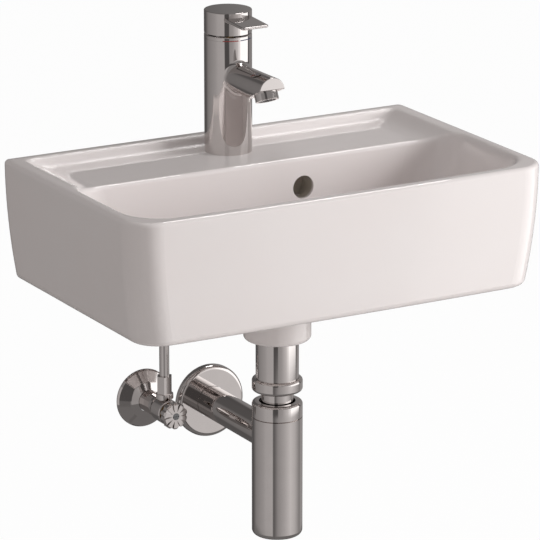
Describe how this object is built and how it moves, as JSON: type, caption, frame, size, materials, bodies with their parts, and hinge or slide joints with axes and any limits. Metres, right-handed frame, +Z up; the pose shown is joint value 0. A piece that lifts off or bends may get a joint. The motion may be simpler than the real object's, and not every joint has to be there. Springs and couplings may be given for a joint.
{
  "type": "washbasin",
  "caption": "Wall-hung ceramic hand basin with a single-lever tap, angle valve, push-open waste and bottle trap, carried on studs in the wall.",
  "frame": {"origin": "on the wall plane, midway between the axes of the two fixing studs", "axes": "+X to the user's right, +Y into the wall, +Z up; the user stands on the -Y side"},
  "size_m": [0.45, 0.34, 0.511],
  "materials": {
    "sanitary_ceramic": "white glaze, glossy",
    "chromed_brass": "polished chrome plating",
    "raw_brass": "turned",
    "zinc_steel": "zinc plated",
    "black_rubber": "matt",
    "white_nylon": "moulded",
    "grey_acetal": "moulded",
    "technical_ceramic": "lapped"
  },
  "bodies": {
    "fixed": {"basin": "sanitary_ceramic", "wall_studs": "zinc_steel", "stud_bushes": "white_nylon", "stud_washers": "zinc_steel", "stud_nuts": "zinc_steel", "tap_body": "chromed_brass", "tap_base_seal": "black_rubber", "aerator_housing": "chromed_brass", "aerator_insert": "grey_acetal", "cartridge_housing": "white_nylon", "cartridge_base": "grey_acetal", "fixed_disc": "technical_ceramic", "port_seals": "black_rubber", "cartridge_nut": "raw_brass", "tap_stud": "zinc_steel", "clamp_gasket": "black_rubber", "clamp_plate": "zinc_steel", "tap_nut": "raw_brass", "supply_tube": "chromed_brass", "valve_body": "chromed_brass", "compression_nut": "chromed_brass", "compression_ring": "raw_brass", "gland_nut": "raw_brass", "valve_rosette": "chromed_brass", "flange_seal": "black_rubber", "waste_flange": "chromed_brass", "plug_guide": "grey_acetal", "lower_seal": "black_rubber", "waste_sleeve": "chromed_brass", "union_gasket": "black_rubber", "dip_tube": "chromed_brass", "union_nut": "chromed_brass", "trap_cap": "chromed_brass", "cone_seal": "black_rubber", "trap_body": "chromed_brass", "outlet_pipe": "chromed_brass", "waste_rosette": "chromed_brass"},
    "lever_turntable": {"lever_carrier": "grey_acetal", "lever_pin": "zinc_steel"},
    "lever_arm": {"lever": "chromed_brass", "lever_screw": "zinc_steel", "lever_stem": "raw_brass"},
    "mixing_disc": {"moving_disc": "technical_ceramic"},
    "valve_handle": {"valve_knob": "chromed_brass", "knob_screw": "zinc_steel", "valve_spindle": "raw_brass"},
    "valve_shutter": {"valve_disc": "raw_brass", "valve_washer": "black_rubber"},
    "drain_plug": {"plug": "chromed_brass", "plug_seal": "black_rubber"}
  },
  "joints": [
    {"name": "lever_swivel", "type": "hinge", "parent": "fixed", "child": "lever_turntable", "pos_m": [0, -0.0445, 0.1588], "axis": [0, 0, 1], "range_deg": [-45, 45]},
    {"name": "lever_tilt", "type": "hinge", "parent": "lever_turntable", "child": "lever_arm", "pos_m": [0, -0.0445, 0.1588], "axis": [-1, 0, 0], "range_deg": [0, 20]},
    {"name": "disc_slide", "type": "slide", "parent": "lever_turntable", "child": "mixing_disc", "axis": [0, -1, 0], "range_m": [0, 0.0047]},
    {"name": "valve_turn", "type": "hinge", "parent": "fixed", "child": "valve_handle", "pos_m": [-0.0739, -0.05, -0.207], "axis": [0, -1, 0], "range_deg": [0, 720]},
    {"name": "shutter_slide", "type": "slide", "parent": "fixed", "child": "valve_shutter", "axis": [0, -1, 0], "range_m": [0, 0.0026]},
    {"name": "plug_slide", "type": "slide", "parent": "fixed", "child": "drain_plug", "axis": [0, 0, 1], "range_m": [0, 0.009]}
  ],
  "couplings": [
    {"joint": "disc_slide", "follows": "lever_tilt", "m_per_rad": 0.0132},
    {"joint": "shutter_slide", "follows": "valve_turn", "m_per_rad": 0.0002}
  ]
}
